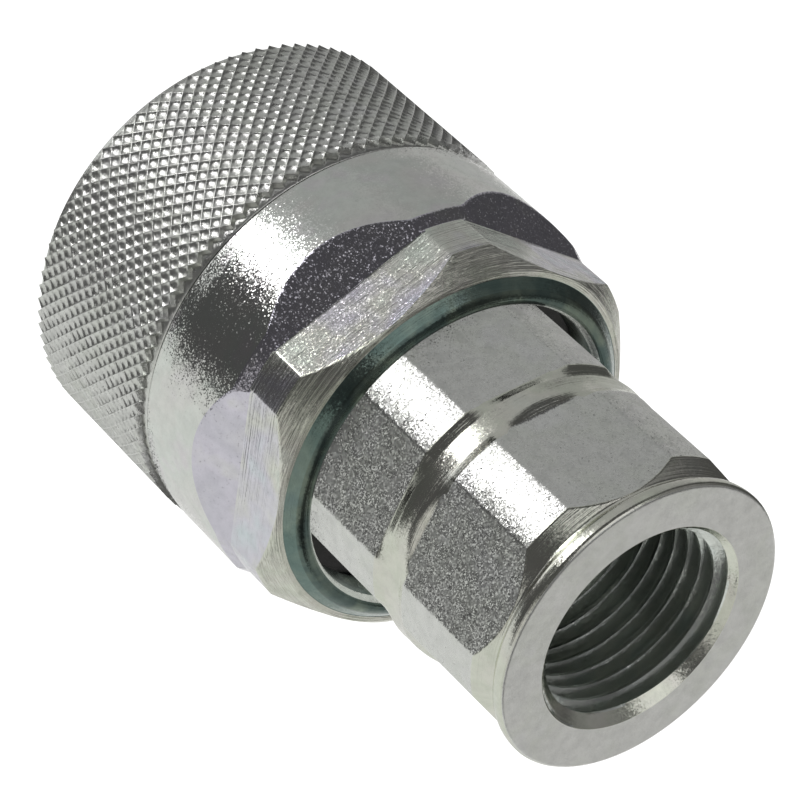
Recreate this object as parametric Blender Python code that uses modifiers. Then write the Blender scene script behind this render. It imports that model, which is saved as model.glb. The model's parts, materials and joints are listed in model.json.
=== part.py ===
"""Screw-to-connect hydraulic quick coupler, the half with the nut, in metres.

The coupler's axis is +Z.  Z = 0 is the nut's front (mating) face, and the
female pipe port is at the top.  The coupling nut turns freely on the body, and
the poppet valve slides up off its seat against its spring.
"""
import math

import bmesh
import bpy
from mathutils import Matrix, Vector

MM = 0.001
GAP = 0.3 * MM              # clearance that neighbouring pieces keep
MERGE = 0.01 * MM           # merge distance of the turned profiles

SEGMENTS_LARGE = 48         # facets round the body and the nut
SEGMENTS_SMALL = 28         # facets round the inner pieces
RING_SIDES = 8              # facets round an o-ring's section

# Overall heights
PORT_FACE_Z = 66.3 * MM
NUT_REAR_Z = 38.3 * MM
NOSE_FRONT_Z = 7.5 * MM

# Port adaptor: outside
BODY_R = 15.3 * MM
BODY_ACROSS_FLATS = 28.6 * MM
FLATS_TOP_Z = 64.15 * MM
LAND_2_TOP_Z = 62.6 * MM
LAND_2_LOW_Z = 52.3 * MM
LAND_1_TOP_Z = 48.0 * MM
GROOVE_R = 14.85 * MM
GROOVE_TOP_Z = 51.1 * MM
GROOVE_LOW_Z = 48.95 * MM
FLAT_2_LOW_Z = 51.8 * MM
FLAT_1_TOP_Z = 47.85 * MM
FLAT_RUNOUT = 1.7           # axial length per radial height where a flat ends at the groove
NECK_R = 14.3 * MM
LIP_R = 14.95 * MM
FACE_EDGE_R = 14.35 * MM
ADAPTOR_LOW_Z = 33.3 * MM

# Port adaptor: inside (G 1/2 female port, counterbore for the valve body)
PORT_MOUTH_R = 10.7 * MM
PORT_BORE_R = 9.9 * MM
PORT_BORE_LOW_Z = 49.0 * MM
FLOW_BORE_R = 8.6 * MM
SPIGOT_BORE_R = 12.6 * MM
SPIGOT_BORE_TOP_Z = 44.3 * MM

# Coupling nut
NUT_R = 21.4 * MM
NUT_CORNER_R = 20.85 * MM
NUT_ACROSS_FLATS = 38.0 * MM
NUT_HEX_TURN = math.radians(20.5)
NUT_FLATS_LOW_Z = 32.3 * MM
NUT_SLOPE_LOW_Z = 28.05 * MM
NUT_STEP_TOP_Z = 32.0 * MM
NUT_STEP_LOW_Z = 30.8 * MM
NUT_BAND_TOP_Z = 22.2 * MM
NUT_BAND_LOW_Z = 20.1 * MM
NUT_BAND_R = 21.2 * MM
NUT_GROOVE_R = 20.9 * MM
NUT_GROOVE_TOP_Z = 19.9 * MM
GRIP_TOP_Z = 19.3 * MM
GRIP_R = 21.5 * MM
NUT_BORE_R = 17.5 * MM
NUT_LIP_R = 15.7 * MM         # rounded lip that closes the rear of the nut round the body
NUT_LIP_LOW_Z = 33.8 * MM
NUT_LIP_TOP_Z = 39.6 * MM
NUT_THREAD_R = 18.4 * MM
NUT_THREAD_TOP_Z = 17.5 * MM
NUT_RELIEF_R = 19.3 * MM
NUT_RELIEF_TOP_Z = 20.5 * MM
NUT_MOUTH_R = 19.6 * MM

# Wire ring that holds the nut on the body
WIRE_Z = 28.5 * MM
WIRE_R = 0.75 * MM
WIRE_RING_R = 17.4 * MM
WIRE_GROOVE_HALF = WIRE_R + GAP
WIRE_GROOVE_INNER_R = WIRE_RING_R - WIRE_R - GAP
WIRE_GROOVE_OUTER_R = WIRE_RING_R + WIRE_R + GAP
WIRE_OPENING = math.radians(14.0)

# Valve body
FLANGE_R = 17.2 * MM
FLANGE_TOP_Z = ADAPTOR_LOW_Z - GAP
FLANGE_LOW_Z = 23.6 * MM
NOSE_R = 13.4 * MM
SPIGOT_R = SPIGOT_BORE_R - GAP
SPIGOT_TOP_Z = SPIGOT_BORE_TOP_Z - GAP
VALVE_BORE_R = 9.2 * MM
THROAT_R = 6.6 * MM
SEAT_LOW_Z = 9.5 * MM
SEAT_TOP_Z = SEAT_LOW_Z + VALVE_BORE_R - THROAT_R

# Seals: ring radius, section radius and height of each o-ring
DUST_SEAL = (16.45 * MM, 0.7 * MM, 25.6 * MM)
ADAPTOR_SEAL = (11.75 * MM, 0.55 * MM, 36.95 * MM)
INTERFACE_SEAL = (12.5 * MM, 1.15 * MM, 14.6 * MM)
BACKUP_HEIGHT = 0.9 * MM

# Poppet valve
STEM_R = 2.4 * MM
STEM_LOW_Z = 3.6 * MM
STEM_TOP_Z = 48.0 * MM
HEAD_R = 7.6 * MM
HEAD_LOW_Z = 9.8 * MM
HEAD_TOP_Z = 13.2 * MM
HEAD_BOSS_R = 4.0 * MM
HEAD_BOSS_TOP_Z = 14.6 * MM
POPPET_NOSE_R = 3.6 * MM
POPPET_NOSE_LOW_Z = 2.0 * MM

# Valve guide, its ring and the spring below it
GUIDE_POCKET_R = 10.0 * MM
GUIDE_R = GUIDE_POCKET_R - GAP
GUIDE_LOW_Z = 40.2 * MM
GUIDE_TOP_Z = 42.4 * MM
GUIDE_HUB_R = 5.1 * MM
GUIDE_HUB_LOW_Z = 36.0 * MM
GUIDE_BORE_R = 4.0 * MM
FLOW_HOLE_R = 1.75 * MM
FLOW_HOLE_RING_R = 7.1 * MM
FLOW_HOLE_COUNT = 6
CIRCLIP_GROOVE_R = 10.5 * MM
CIRCLIP_HEIGHT = 0.8 * MM
CIRCLIP_INNER_R = 8.8 * MM
CIRCLIP_OPENING = 5.0 * MM
SPRING_SEAT_LOW_Z = HEAD_TOP_Z + GAP
SPRING_SEAT_TOP_Z = 14.3 * MM
SPRING_COIL_R = 6.6 * MM
SPRING_WIRE_R = 0.7 * MM
SPRING_TURNS = 6.5
SPRING_POINTS_PER_TURN = 13
STEM_NUT_ACROSS_FLATS = 8.0 * MM
STEM_NUT_LOW_Z = 44.6 * MM
STEM_NUT_HEIGHT = 2.4 * MM

# Colour, roughness and metallic value of each finish
ZINC_PLATE = ((0.62, 0.62, 0.56), 0.28, 1.0)
ZINC_NUT = ((0.66, 0.66, 0.64), 0.25, 1.0)
BARE_STEEL = ((0.50, 0.50, 0.52), 0.32, 1.0)
SPRING_STEEL = ((0.38, 0.39, 0.41), 0.35, 1.0)
BLACK_RUBBER = ((0.02, 0.02, 0.02), 0.55, 0.0)
WHITE_PTFE = ((0.85, 0.84, 0.80), 0.45, 0.0)
BRONZE = ((0.52, 0.34, 0.17), 0.35, 1.0)


def clear_scene():
    """Remove whatever objects the file already holds."""
    for obj in list(bpy.data.objects):
        bpy.data.objects.remove(obj, do_unlink=True)


def new_collection(name):
    """Return a new collection linked to the scene."""
    collection = bpy.data.collections.new(name)
    bpy.context.scene.collection.children.link(collection)
    return collection


def add_object(name, mesh, collection):
    """Link an object for the mesh at the origin of the frame."""
    obj = bpy.data.objects.new(name, mesh)
    collection.objects.link(obj)
    return obj


def give_material(obj, finish):
    """Give the object its own Principled material."""
    colour, roughness, metallic = finish
    material = bpy.data.materials.new(obj.name)
    material.use_nodes = True
    shader = material.node_tree.nodes["Principled BSDF"]
    shader.inputs["Base Color"].default_value = (*colour, 1.0)
    shader.inputs["Roughness"].default_value = roughness
    shader.inputs["Metallic"].default_value = metallic
    obj.data.materials.append(material)


def turned(name, profile, closed, segments, collection):
    """Turn a (radius, height) profile about Z; it runs down the outer side first."""
    mesh = bpy.data.meshes.new(name)
    points = [(radius, 0.0, height) for radius, height in profile]
    edges = [(index, index + 1) for index in range(len(points) - 1)]
    if closed:
        edges.append((len(points) - 1, 0))
    mesh.from_pydata(points, edges, [])
    obj = add_object(name, mesh, collection)
    screw = obj.modifiers.new("Turn", "SCREW")
    screw.axis = "Z"
    screw.angle = math.tau
    screw.steps = segments
    screw.render_steps = segments
    screw.use_merge_vertices = True
    screw.merge_threshold = MERGE
    screw.use_smooth_shade = True
    return obj


def turned_piece(name, profile, finish, parts, segments=SEGMENTS_SMALL, closed=True):
    """Make a finished turned piece of the coupler."""
    obj = turned(name, profile, closed, segments, parts)
    give_material(obj, finish)
    return obj


def flat_ring(name, inner_r, outer_r, low_z, top_z, finish, parts):
    """Make a ring of rectangular section."""
    profile = [(outer_r, top_z), (outer_r, low_z), (inner_r, low_z), (inner_r, top_z)]
    return turned_piece(name, profile, finish, parts)


def o_ring(name, seal, parts):
    """Make an o-ring from its ring radius, section radius and height."""
    ring_r, section_r, height = seal
    bpy.ops.mesh.primitive_torus_add(
        location=(0.0, 0.0, height), major_radius=ring_r, minor_radius=section_r,
        major_segments=SEGMENTS_SMALL, minor_segments=RING_SIDES)
    obj = bpy.context.active_object
    obj.name = name
    obj.data.shade_smooth()
    for collection in list(obj.users_collection):
        collection.objects.unlink(obj)
    parts.objects.link(obj)
    give_material(obj, BLACK_RUBBER)
    return obj


def wire(name, points, wire_r, parts):
    """Make a round wire through the points, with its ends closed."""
    curve = bpy.data.curves.new(name, "CURVE")
    curve.dimensions = "3D"
    curve.bevel_depth = wire_r
    curve.bevel_resolution = 2
    curve.use_fill_caps = True
    spline = curve.splines.new("POLY")
    spline.points.add(len(points) - 1)
    for spline_point, point in zip(spline.points, points):
        spline_point.co = (*point, 1.0)
    obj = add_object(name, curve, parts)
    give_material(obj, SPRING_STEEL)
    return obj


def hide_cutter(obj):
    """Mark an object as a cutter."""
    obj.hide_render = True
    obj.display_type = "WIRE"
    return obj


def cut(obj, cutter):
    """Take the cutter away from the object."""
    boolean = obj.modifiers.new("Cut " + cutter.name, "BOOLEAN")
    boolean.operation = "DIFFERENCE"
    boolean.solver = "EXACT"
    boolean.object = cutter


def prism_ring(name, outline, half_width, turn, count, cutters):
    """Repeat a prism round Z; its outline is in (distance from the axis, height)."""
    model = bmesh.new()
    for index in range(count):
        spin = Matrix.Rotation(turn + index * math.tau / count, 4, "Z")
        points = [spin @ Vector((distance, -half_width, height)) for distance, height in outline]
        face = model.faces.new([model.verts.new(point) for point in points])
        swept = bmesh.ops.extrude_face_region(model, geom=[face])
        moved = [item for item in swept["geom"] if isinstance(item, bmesh.types.BMVert)]
        bmesh.ops.translate(model, vec=spin @ Vector((0.0, 2.0 * half_width, 0.0)), verts=moved)
    bmesh.ops.recalc_face_normals(model, faces=model.faces)
    mesh = bpy.data.meshes.new(name)
    model.to_mesh(mesh)
    model.free()
    return hide_cutter(add_object(name, mesh, cutters))


def adaptor_profile():
    """Outline of the port adaptor, from the port face down and back up its bores."""
    outside = [
        (FACE_EDGE_R, PORT_FACE_Z),
        (LIP_R - 0.12 * MM, PORT_FACE_Z - 0.35 * MM),
        (LIP_R, PORT_FACE_Z - 0.8 * MM),
        (NECK_R + 0.1 * MM, PORT_FACE_Z - 1.7 * MM),
        (NECK_R, FLATS_TOP_Z),
        (NECK_R + 0.15 * MM, FLATS_TOP_Z - 0.15 * MM),
        (BODY_R, LAND_2_TOP_Z),
        (BODY_R, LAND_2_LOW_Z),
        (GROOVE_R, GROOVE_TOP_Z),
        (GROOVE_R, GROOVE_LOW_Z),
        (BODY_R, LAND_1_TOP_Z),
        (BODY_R, ADAPTOR_LOW_Z),
    ]
    bore_step = PORT_BORE_R - FLOW_BORE_R
    inside = [
        (SPIGOT_BORE_R, ADAPTOR_LOW_Z),
        (SPIGOT_BORE_R, SPIGOT_BORE_TOP_Z),
        (FLOW_BORE_R, SPIGOT_BORE_TOP_Z),
        (FLOW_BORE_R, PORT_BORE_LOW_Z - bore_step),
        (PORT_BORE_R, PORT_BORE_LOW_Z),
        (PORT_BORE_R, PORT_FACE_Z - PORT_MOUTH_R + PORT_BORE_R),
        (PORT_MOUTH_R, PORT_FACE_Z),
    ]
    return outside + inside


def port_adaptor(parts, cutters):
    """Female pipe port with two hexagon lands and a turned groove between them."""
    obj = turned_piece("port_adaptor", adaptor_profile(), ZINC_PLATE, parts, SEGMENTS_LARGE)
    flat = 0.5 * BODY_ACROSS_FLATS
    reach = BODY_R + 0.3 * MM
    runout = FLAT_RUNOUT * (reach - flat)
    low = ADAPTOR_LOW_Z - 1.0 * MM
    land_1 = [(flat, low), (reach, low), (reach, FLAT_1_TOP_Z + runout), (flat, FLAT_1_TOP_Z)]
    land_2 = [(flat, FLAT_2_LOW_Z), (reach, FLAT_2_LOW_Z - runout), (reach, FLATS_TOP_Z),
              (flat, FLATS_TOP_Z)]
    half_width = 6.0 * MM
    cut(obj, prism_ring("land_1_flats", land_1, half_width, 0.0, 6, cutters))
    cut(obj, prism_ring("land_2_flats", land_2, half_width, 0.0, 6, cutters))
    return obj


def nut_profile():
    """Outline of the nut, from its rear face down to its mouth and back up inside."""
    outside = [
        (0.5 * NUT_ACROSS_FLATS - 0.05 * MM, NUT_REAR_Z),
        (NUT_CORNER_R, NUT_REAR_Z - 1.9 * MM),
        (NUT_CORNER_R, NUT_STEP_TOP_Z),
        (NUT_R, NUT_STEP_LOW_Z),
        (NUT_R, NUT_BAND_TOP_Z),
        (NUT_BAND_R, NUT_BAND_LOW_Z),
        (NUT_GROOVE_R, NUT_GROOVE_TOP_Z),
        (NUT_GROOVE_R, GRIP_TOP_Z + 0.2 * MM),
        (GRIP_R, GRIP_TOP_Z),
        (GRIP_R, 1.2 * MM),
        (GRIP_R - 0.9 * MM, 0.0),
    ]
    inside = [
        (NUT_MOUTH_R, 0.0),
        (NUT_THREAD_R, NUT_MOUTH_R - NUT_THREAD_R),
        (NUT_THREAD_R, NUT_THREAD_TOP_Z),
        (NUT_RELIEF_R, NUT_THREAD_TOP_Z + 0.5 * MM),
        (NUT_RELIEF_R, NUT_RELIEF_TOP_Z),
        (NUT_BORE_R, NUT_RELIEF_TOP_Z + NUT_RELIEF_R - NUT_BORE_R),
        (NUT_BORE_R, WIRE_Z - WIRE_GROOVE_HALF),
        (WIRE_GROOVE_OUTER_R, WIRE_Z - WIRE_GROOVE_HALF),
        (WIRE_GROOVE_OUTER_R, WIRE_Z + WIRE_GROOVE_HALF),
        (NUT_BORE_R, WIRE_Z + WIRE_GROOVE_HALF),
        (NUT_BORE_R, NUT_LIP_LOW_Z),
        (NUT_LIP_R, NUT_LIP_LOW_Z + NUT_BORE_R - NUT_LIP_R),
        (NUT_LIP_R, NUT_LIP_TOP_Z - 0.7 * MM),
        (NUT_LIP_R + 0.25 * MM, NUT_LIP_TOP_Z - 0.2 * MM),
        (NUT_LIP_R + 0.8 * MM, NUT_LIP_TOP_Z),
        (NUT_LIP_R + 1.6 * MM, NUT_LIP_TOP_Z - 0.25 * MM),
        (NUT_LIP_R + 2.65 * MM, NUT_REAR_Z),
    ]
    return outside + inside


def coupling_nut(parts, cutters):
    """Nut with a round grip in front and a hexagon run out on slopes behind."""
    obj = turned_piece("coupling_nut", nut_profile(), ZINC_NUT, parts, SEGMENTS_LARGE)
    flat = 0.5 * NUT_ACROSS_FLATS
    slope = (NUT_R - flat) / (NUT_FLATS_LOW_Z - NUT_SLOPE_LOW_Z)
    reach = NUT_R + 1.6 * MM
    above = NUT_LIP_TOP_Z + 1.0 * MM
    slope_foot = NUT_FLATS_LOW_Z - (reach - flat) / slope
    outline = [(flat, NUT_FLATS_LOW_Z), (reach, slope_foot), (reach, above), (flat, above)]
    cut(obj, prism_ring("nut_flats", outline, 9.5 * MM, NUT_HEX_TURN, 6, cutters))
    return obj


def seal_groove(seal, floor_r, wall_r, extra=0.0):
    """Corners of a groove round a seal, from the top down."""
    half = seal[1] + GAP + extra
    top = seal[2] + half
    low = seal[2] - half
    return [(wall_r, top), (floor_r, top), (floor_r, low), (wall_r, low)]


def valve_body_profile():
    """Outline of the valve body: spigot, flange and nose outside, pocket to throat inside."""
    backup_room = BACKUP_HEIGHT + GAP
    adaptor_floor = ADAPTOR_SEAL[0] - ADAPTOR_SEAL[1] - GAP
    dust_floor = DUST_SEAL[0] - DUST_SEAL[1] - GAP
    interface_floor = INTERFACE_SEAL[0] - INTERFACE_SEAL[1] - GAP
    adaptor_groove = seal_groove(ADAPTOR_SEAL, adaptor_floor, SPIGOT_R)
    low = ADAPTOR_SEAL[2] - ADAPTOR_SEAL[1] - GAP - backup_room
    adaptor_groove[2] = (adaptor_floor, low)
    adaptor_groove[3] = (SPIGOT_R, low)
    outside = [
        (SPIGOT_R - 0.6 * MM, SPIGOT_TOP_Z),
        (SPIGOT_R, SPIGOT_TOP_Z - 0.6 * MM),
        *adaptor_groove,
        (SPIGOT_R, FLANGE_TOP_Z),
        (FLANGE_R, FLANGE_TOP_Z),
        (FLANGE_R, WIRE_Z + WIRE_GROOVE_HALF),
        (WIRE_GROOVE_INNER_R, WIRE_Z + WIRE_GROOVE_HALF),
        (WIRE_GROOVE_INNER_R, WIRE_Z - WIRE_GROOVE_HALF),
        (FLANGE_R, WIRE_Z - WIRE_GROOVE_HALF),
        *seal_groove(DUST_SEAL, dust_floor, FLANGE_R),
        (FLANGE_R, FLANGE_LOW_Z),
        (NOSE_R, FLANGE_LOW_Z - 0.8 * MM),
        *seal_groove(INTERFACE_SEAL, interface_floor, NOSE_R, backup_room),
        (NOSE_R, NOSE_FRONT_Z + 1.2 * MM),
        (NOSE_R - 0.8 * MM, NOSE_FRONT_Z),
    ]
    clip_low = GUIDE_TOP_Z
    clip_top = GUIDE_TOP_Z + CIRCLIP_HEIGHT + 2.0 * GAP
    inside = [
        (THROAT_R + 0.3 * MM, NOSE_FRONT_Z),
        (THROAT_R, NOSE_FRONT_Z + 0.3 * MM),
        (THROAT_R, SEAT_LOW_Z),
        (VALVE_BORE_R, SEAT_TOP_Z),
        (VALVE_BORE_R, GUIDE_LOW_Z - GAP),
        (GUIDE_POCKET_R, GUIDE_LOW_Z - GAP),
        (GUIDE_POCKET_R, clip_low),
        (CIRCLIP_GROOVE_R, clip_low),
        (CIRCLIP_GROOVE_R, clip_top),
        (GUIDE_POCKET_R, clip_top),
        (GUIDE_POCKET_R, SPIGOT_TOP_Z),
    ]
    return outside + inside


def valve_body(parts):
    """Body that carries the nut, the interface seals and the valve seat."""
    return turned_piece("valve_body", valve_body_profile(), BARE_STEEL, parts, SEGMENTS_LARGE)


def body_seals(parts):
    """O-rings and backup rings on the valve body."""
    o_ring("nut_dust_seal", DUST_SEAL, parts)
    o_ring("adaptor_oring", ADAPTOR_SEAL, parts)
    o_ring("interface_oring", INTERFACE_SEAL, parts)
    ring_r, section_r, height = ADAPTOR_SEAL
    top = height - section_r - GAP
    flat_ring("adaptor_backup_ring", ring_r - section_r, ring_r + section_r,
              top - BACKUP_HEIGHT, top, WHITE_PTFE, parts)
    ring_r, section_r, height = INTERFACE_SEAL
    inner_r = ring_r - section_r
    outer_r = NOSE_R - 0.1 * MM
    top = height - section_r - GAP
    low = height + section_r + GAP
    flat_ring("interface_backup_front", inner_r, outer_r, top - BACKUP_HEIGHT, top, WHITE_PTFE, parts)
    flat_ring("interface_backup_rear", inner_r, outer_r, low, low + BACKUP_HEIGHT, WHITE_PTFE, parts)


def nut_wire_ring(parts):
    """Open wire ring in the groove that the nut and the flange share."""
    count = SEGMENTS_SMALL
    sweep = math.tau - WIRE_OPENING
    angles = [0.5 * WIRE_OPENING + sweep * index / count for index in range(count + 1)]
    points = [(WIRE_RING_R * math.cos(a), WIRE_RING_R * math.sin(a), WIRE_Z) for a in angles]
    wire("nut_wire_ring", points, WIRE_R, parts)


def poppet(parts):
    """Poppet: stem through the whole valve, and a conical head behind the seat."""
    cone_gap = GAP * math.sqrt(2.0)
    cone_low_r = THROAT_R + HEAD_LOW_Z - SEAT_LOW_Z - cone_gap
    cone_top_z = HEAD_LOW_Z + HEAD_R - cone_low_r
    profile = [
        (0.0, STEM_TOP_Z),
        (STEM_R - 0.4 * MM, STEM_TOP_Z),
        (STEM_R, STEM_TOP_Z - 0.4 * MM),
        (STEM_R, HEAD_BOSS_TOP_Z),
        (HEAD_BOSS_R, HEAD_BOSS_TOP_Z),
        (HEAD_BOSS_R, HEAD_TOP_Z),
        (HEAD_R, HEAD_TOP_Z),
        (HEAD_R, cone_top_z),
        (cone_low_r, HEAD_LOW_Z),
        (STEM_R, HEAD_LOW_Z),
        (STEM_R, STEM_LOW_Z),
        (0.0, STEM_LOW_Z),
    ]
    turned_piece("poppet", profile, BARE_STEEL, parts, closed=False)


def poppet_front(parts):
    """Seal, washer and nose that the poppet's stem carries in front of its head."""
    hole_r = STEM_R + GAP
    seal_top = HEAD_LOW_Z - GAP
    seal_low = seal_top - 1.0 * MM
    washer_top = seal_low - GAP
    washer_low = washer_top - 0.8 * MM
    nose_top = washer_low - GAP
    flat_ring("poppet_seal", hole_r, THROAT_R - GAP, seal_low, seal_top, BLACK_RUBBER, parts)
    flat_ring("poppet_seal_washer", hole_r, 5.6 * MM, washer_low, washer_top, BARE_STEEL, parts)
    nose_edge = 0.7 * MM
    profile = [
        (0.0, STEM_LOW_Z - GAP),
        (hole_r, STEM_LOW_Z - GAP),
        (hole_r, nose_top),
        (POPPET_NOSE_R, nose_top),
        (POPPET_NOSE_R, POPPET_NOSE_LOW_Z + nose_edge),
        (POPPET_NOSE_R - nose_edge, POPPET_NOSE_LOW_Z),
        (0.0, POPPET_NOSE_LOW_Z),
    ]
    turned_piece("poppet_nose", profile, BARE_STEEL, parts, closed=False)


def stem_nut(parts):
    """Hexagon nut on the top end of the poppet's stem, above the guide."""
    corner_r = 0.5 * STEM_NUT_ACROSS_FLATS / math.cos(math.pi / 6.0)
    profile = [
        (corner_r, STEM_NUT_LOW_Z + STEM_NUT_HEIGHT),
        (corner_r, STEM_NUT_LOW_Z),
        (STEM_R + GAP + 0.35 * MM, STEM_NUT_LOW_Z),
        (STEM_R + GAP + 0.35 * MM, STEM_NUT_LOW_Z + STEM_NUT_HEIGHT),
    ]
    turned_piece("stem_nut", profile, BARE_STEEL, parts, segments=6)


def valve_guide(parts, cutters):
    """Guide disc with a hub for the stem and a ring of flow holes."""
    profile = [
        (GUIDE_R, GUIDE_TOP_Z - 0.1 * MM),
        (GUIDE_R, GUIDE_LOW_Z),
        (GUIDE_HUB_R, GUIDE_LOW_Z),
        (GUIDE_HUB_R, GUIDE_HUB_LOW_Z),
        (GUIDE_BORE_R, GUIDE_HUB_LOW_Z),
        (GUIDE_BORE_R, GUIDE_TOP_Z - 0.1 * MM),
    ]
    obj = turned_piece("valve_guide", profile, BARE_STEEL, parts)
    model = bmesh.new()
    middle = 0.5 * (GUIDE_LOW_Z + GUIDE_TOP_Z)
    for index in range(FLOW_HOLE_COUNT):
        spin = Matrix.Rotation(index * math.tau / FLOW_HOLE_COUNT, 4, "Z")
        place = spin @ Matrix.Translation((FLOW_HOLE_RING_R, 0.0, middle))
        bmesh.ops.create_cone(model, cap_ends=True, segments=12, radius1=FLOW_HOLE_R,
                              radius2=FLOW_HOLE_R, depth=4.0 * MM, matrix=place)
    mesh = bpy.data.meshes.new("flow_holes")
    model.to_mesh(mesh)
    model.free()
    cut(obj, hide_cutter(add_object("flow_holes", mesh, cutters)))


def guide_bush(parts):
    """Plain bush that the stem runs in, inside the guide's hub."""
    flat_ring("guide_bush", STEM_R + GAP, GUIDE_BORE_R - GAP,
              GUIDE_HUB_LOW_Z + 0.2 * MM, GUIDE_TOP_Z - 0.4 * MM, BRONZE, parts)


def guide_circlip(parts, cutters):
    """Open ring that holds the guide in the valve body's pocket."""
    low = GUIDE_TOP_Z + GAP
    obj = flat_ring("guide_circlip", CIRCLIP_INNER_R, CIRCLIP_GROOVE_R - GAP,
                    low, low + CIRCLIP_HEIGHT, SPRING_STEEL, parts)
    outline = [(CIRCLIP_INNER_R - 1.0 * MM, low - 1.0 * MM), (CIRCLIP_GROOVE_R, low - 1.0 * MM),
               (CIRCLIP_GROOVE_R, low + 2.0 * MM), (CIRCLIP_INNER_R - 1.0 * MM, low + 2.0 * MM)]
    cut(obj, prism_ring("circlip_opening", outline, 0.5 * CIRCLIP_OPENING, 0.0, 1, cutters))


def spring_seat(parts):
    """Washer on the back of the poppet's head, under the spring."""
    flat_ring("spring_seat", HEAD_BOSS_R + GAP, 7.5 * MM, SPRING_SEAT_LOW_Z, SPRING_SEAT_TOP_Z,
              BARE_STEEL, parts)


def poppet_spring(parts):
    """Compression spring between the spring seat and the guide."""
    low = SPRING_SEAT_TOP_Z + GAP + SPRING_WIRE_R
    top = GUIDE_LOW_Z - GAP - SPRING_WIRE_R
    count = round(SPRING_TURNS * SPRING_POINTS_PER_TURN)
    points = []
    for index in range(count + 1):
        share = index / count
        angle = math.tau * SPRING_TURNS * share
        points.append((SPRING_COIL_R * math.cos(angle), SPRING_COIL_R * math.sin(angle),
                       low + (top - low) * share))
    wire("poppet_spring", points, SPRING_WIRE_R, parts)


def main():
    """Build the coupler."""
    clear_scene()
    parts = new_collection("quick_disconnect_coupler")
    cutters = new_collection("cutters")
    port_adaptor(parts, cutters)
    valve_body(parts)
    coupling_nut(parts, cutters)
    nut_wire_ring(parts)
    body_seals(parts)
    poppet(parts)
    poppet_front(parts)
    stem_nut(parts)
    spring_seat(parts)
    poppet_spring(parts)
    valve_guide(parts, cutters)
    guide_bush(parts)
    guide_circlip(parts, cutters)


main()
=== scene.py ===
"""Visual model of the screw-to-connect quick coupler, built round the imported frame."""
import json
import math
import random

import bmesh
import bpy
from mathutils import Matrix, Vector


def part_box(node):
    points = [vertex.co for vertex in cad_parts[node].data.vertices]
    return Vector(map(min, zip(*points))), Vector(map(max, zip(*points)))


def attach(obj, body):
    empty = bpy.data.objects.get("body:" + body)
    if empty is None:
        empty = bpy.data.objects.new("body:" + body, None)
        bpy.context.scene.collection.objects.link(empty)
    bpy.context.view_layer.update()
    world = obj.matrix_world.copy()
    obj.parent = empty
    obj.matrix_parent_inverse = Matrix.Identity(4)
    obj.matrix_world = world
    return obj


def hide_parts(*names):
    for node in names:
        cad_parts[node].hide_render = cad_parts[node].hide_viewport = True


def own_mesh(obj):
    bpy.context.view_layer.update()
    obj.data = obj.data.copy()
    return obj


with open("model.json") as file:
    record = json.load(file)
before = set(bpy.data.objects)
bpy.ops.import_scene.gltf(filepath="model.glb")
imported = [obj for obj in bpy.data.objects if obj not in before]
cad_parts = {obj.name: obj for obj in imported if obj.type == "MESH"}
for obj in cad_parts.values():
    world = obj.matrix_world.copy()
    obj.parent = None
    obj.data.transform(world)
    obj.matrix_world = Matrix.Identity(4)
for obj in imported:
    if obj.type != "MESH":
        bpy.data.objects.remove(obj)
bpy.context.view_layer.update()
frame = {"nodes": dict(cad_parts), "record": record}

MM = 0.001
MICRON = 0.000001
MERGE = 0.002 * MM
UP = Vector((0.0, 0.0, 1.0))
SECTOR = math.tau / 6.0
# Where two faces meet at a larger angle than this, their edge stays sharp
SHARP_ANGLE = 35.0
# Distance from a rounding to the extra point that keeps the face beside it flat
SUPPORT = 0.03 * MM
# Rounding between a hexagon's flats and its turned corners
CORNER_BLEND = 0.05 * MM

# Port adaptor; depths are measured down from the port face
ADAPTOR_LOW, ADAPTOR_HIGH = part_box("port_adaptor")
PORT_FACE_Z = ADAPTOR_HIGH.z
ADAPTOR_LOW_Z = ADAPTOR_LOW.z
BODY_R = 15.3 * MM
BODY_FLAT = 14.3 * MM
PORT_LIP_R = 14.93 * MM
NECK_DEPTH = 2.15 * MM
NECK_CONE_RATE = 1.55
GROOVE_R = 14.85 * MM
GROOVE_TOP_DEPTH = 15.2 * MM
GROOVE_LOW_DEPTH = 17.35 * MM
LAND_2_LOW_DEPTH = 14.05 * MM
LAND_1_TOP_DEPTH = 18.3 * MM
FLAT_2_LOW_DEPTH = 14.5 * MM
FLAT_1_TOP_DEPTH = 18.45 * MM
GROOVE_RUN_OUT_RATE = 1.7
PORT_PITCH = 1.814 * MM
PORT_MINOR_R = 9.32 * MM
PORT_MAJOR_R = 10.48 * MM
PORT_MOUTH_R = 10.62 * MM
PORT_MOUTH_DEPTH = 1.25 * MM
PORT_THREAD_LOW_Z = 49.6 * MM
SPIGOT_BORE_R = 12.6 * MM
SPIGOT_BORE_TOP_Z = 44.3 * MM
FLOW_BORE_R = 8.6 * MM
FLOW_BORE_TOP_Z = 48.0 * MM

# Nut
NUT_LIP_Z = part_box("coupling_nut")[1].z
NUT_SHOULDER_Z = NUT_LIP_Z - 1.3 * MM
NUT_R = 21.4 * MM
NUT_CORNER_R = 20.85 * MM
NUT_FLAT = 19.0 * MM
NUT_HEX_TURN = math.radians(20.5)
NUT_CHAMFER_R = 18.95 * MM
NUT_LIP_FOOT_R = 18.35 * MM
NUT_FLAT_LOW_Z = 32.3 * MM
RUN_OUT_SLOPE = 2.4 / 4.25
STEP_TOP_Z = 32.0 * MM
STEP_LOW_Z = 30.8 * MM
NUT_EDGE = 0.1 * MM
NUT_SPLIT_Z = 25.5 * MM
NUT_BASE_R = 20.8 * MM
NUT_MOUTH_R = 19.5 * MM
NUT_RELIEF_R = 19.3 * MM
NUT_BORE_R = 17.5 * MM
NUT_REAR_BORE_Z = 33.8 * MM
WIRE_GROOVE_R = 18.45 * MM
WIRE_GROOVE_LOW_Z = 27.45 * MM
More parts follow.
